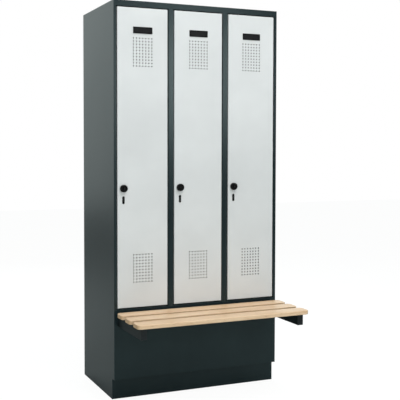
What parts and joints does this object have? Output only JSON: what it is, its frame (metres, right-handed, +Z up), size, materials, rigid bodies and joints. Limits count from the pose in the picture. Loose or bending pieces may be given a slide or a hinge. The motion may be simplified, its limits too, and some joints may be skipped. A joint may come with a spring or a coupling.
{
  "type": "clothes locker with bench",
  "caption": "Sheet-steel clothes locker with tall vented doors, turn-knob latches, hat shelves and hook rails, on a closed base with a slatted wooden bench in front.",
  "frame": {"origin": "on the floor in the middle of the whole footprint, bench included", "axes": "+X to the right along the front, +Y from the front to the back, +Z up"},
  "size_m": [0.9, 0.83, 1.95],
  "materials": {
    "black_grey_steel": "fine satin powder coat",
    "light_grey_steel": "fine satin powder coat",
    "black_plastic": "fine moulded texture",
    "zinc_steel": "bright zinc plating",
    "nylon": "moulded, black",
    "buffer_rubber": "matt",
    "beech": "clear satin lacquer"
  },
  "bodies": {
    "carcass": {"arm_caps": "black_plastic", "arm_spacers": "black_grey_steel", "back_panel": "black_grey_steel", "base_front_panel": "black_grey_steel", "bench_arm_left": "black_grey_steel", "bench_arm_right": "black_grey_steel", "bench_slat_front": "beech", "bench_slat_middle": "beech", "bench_slat_rear": "beech", "bottom_rail": "black_grey_steel", "clothes_rail_left": "zinc_steel", "clothes_rail_middle": "zinc_steel", "clothes_rail_right": "zinc_steel", "door_buffers": "buffer_rubber", "floor_panel": "black_grey_steel", "floor_runners": "black_grey_steel", "hat_shelf_left": "black_grey_steel", "hat_shelf_middle": "black_grey_steel", "hat_shelf_right": "black_grey_steel", "partition_left": "black_grey_steel", "partition_right": "black_grey_steel", "pivot_bushes": "nylon", "plinth_panel": "black_grey_steel", "post_left": "black_grey_steel", "post_mid_left": "black_grey_steel", "post_mid_right": "black_grey_steel", "post_right": "black_grey_steel", "rail_sockets": "black_plastic", "side_panel_left": "black_grey_steel", "side_panel_right": "black_grey_steel", "slat_screws": "zinc_steel", "top_panel": "black_grey_steel", "top_rail": "black_grey_steel"},
    "door_left": {"door_panel_left": "light_grey_steel", "pivot_pins_left": "zinc_steel", "label_holder_left": "black_plastic", "lock_case_left": "zinc_steel", "escutcheon_left": "black_plastic"},
    "knob_left": {"turn_knob_left": "black_plastic", "latch_cam_left": "zinc_steel"},
    "hook_left_left": {"coat_hook_left_left": "black_plastic"},
    "hook_left_right": {"coat_hook_left_right": "black_plastic"},
    "door_middle": {"door_panel_middle": "light_grey_steel", "pivot_pins_middle": "zinc_steel", "label_holder_middle": "black_plastic", "lock_case_middle": "zinc_steel", "escutcheon_middle": "black_plastic"},
    "knob_middle": {"turn_knob_middle": "black_plastic", "latch_cam_middle": "zinc_steel"},
    "hook_middle_left": {"coat_hook_middle_left": "black_plastic"},
    "hook_middle_right": {"coat_hook_middle_right": "black_plastic"},
    "door_right": {"door_panel_right": "light_grey_steel", "pivot_pins_right": "zinc_steel", "label_holder_right": "black_plastic", "lock_case_right": "zinc_steel", "escutcheon_right": "black_plastic"},
    "knob_right": {"turn_knob_right": "black_plastic", "latch_cam_right": "zinc_steel"},
    "hook_right_left": {"coat_hook_right_left": "black_plastic"},
    "hook_right_right": {"coat_hook_right_right": "black_plastic"}
  },
  "joints": [
    {"name": "door_left_swing", "type": "hinge", "parent": "carcass", "child": "door_left", "pos_m": [-0.1775, -0.079, 1.1855], "axis": [0, 0, 1], "range_deg": [0, 110]},
    {"name": "door_middle_swing", "type": "hinge", "parent": "carcass", "child": "door_middle", "pos_m": [0.1225, -0.079, 1.1855], "axis": [0, 0, 1], "range_deg": [0, 110]},
    {"name": "door_right_swing", "type": "hinge", "parent": "carcass", "child": "door_right", "pos_m": [0.4225, -0.079, 1.1855], "axis": [0, 0, 1], "range_deg": [0, 110]},
    {"name": "knob_left_turn", "type": "hinge", "parent": "door_left", "child": "knob_left", "pos_m": [-0.401, -0.085, 1.04], "axis": [0, 1, 0], "range_deg": [0, 90]},
    {"name": "knob_middle_turn", "type": "hinge", "parent": "door_middle", "child": "knob_middle", "pos_m": [-0.101, -0.085, 1.04], "axis": [0, 1, 0], "range_deg": [0, 90]},
    {"name": "knob_right_turn", "type": "hinge", "parent": "door_right", "child": "knob_right", "pos_m": [0.199, -0.085, 1.04], "axis": [0, 1, 0], "range_deg": [0, 90]},
    {"name": "hook_left_left_slide", "type": "slide", "parent": "carcass", "child": "hook_left_left", "axis": [1, 0, 0], "range_m": [-0.065, 0.058]},
    {"name": "hook_left_right_slide", "type": "slide", "parent": "carcass", "child": "hook_left_right", "axis": [1, 0, 0], "range_m": [-0.058, 0.065]},
    {"name": "hook_middle_left_slide", "type": "slide", "parent": "carcass", "child": "hook_middle_left", "axis": [1, 0, 0], "range_m": [-0.065, 0.058]},
    {"name": "hook_middle_right_slide", "type": "slide", "parent": "carcass", "child": "hook_middle_right", "axis": [1, 0, 0], "range_m": [-0.058, 0.065]},
    {"name": "hook_right_left_slide", "type": "slide", "parent": "carcass", "child": "hook_right_left", "axis": [1, 0, 0], "range_m": [-0.065, 0.058]},
    {"name": "hook_right_right_slide", "type": "slide", "parent": "carcass", "child": "hook_right_right", "axis": [1, 0, 0], "range_m": [-0.058, 0.065]}
  ]
}
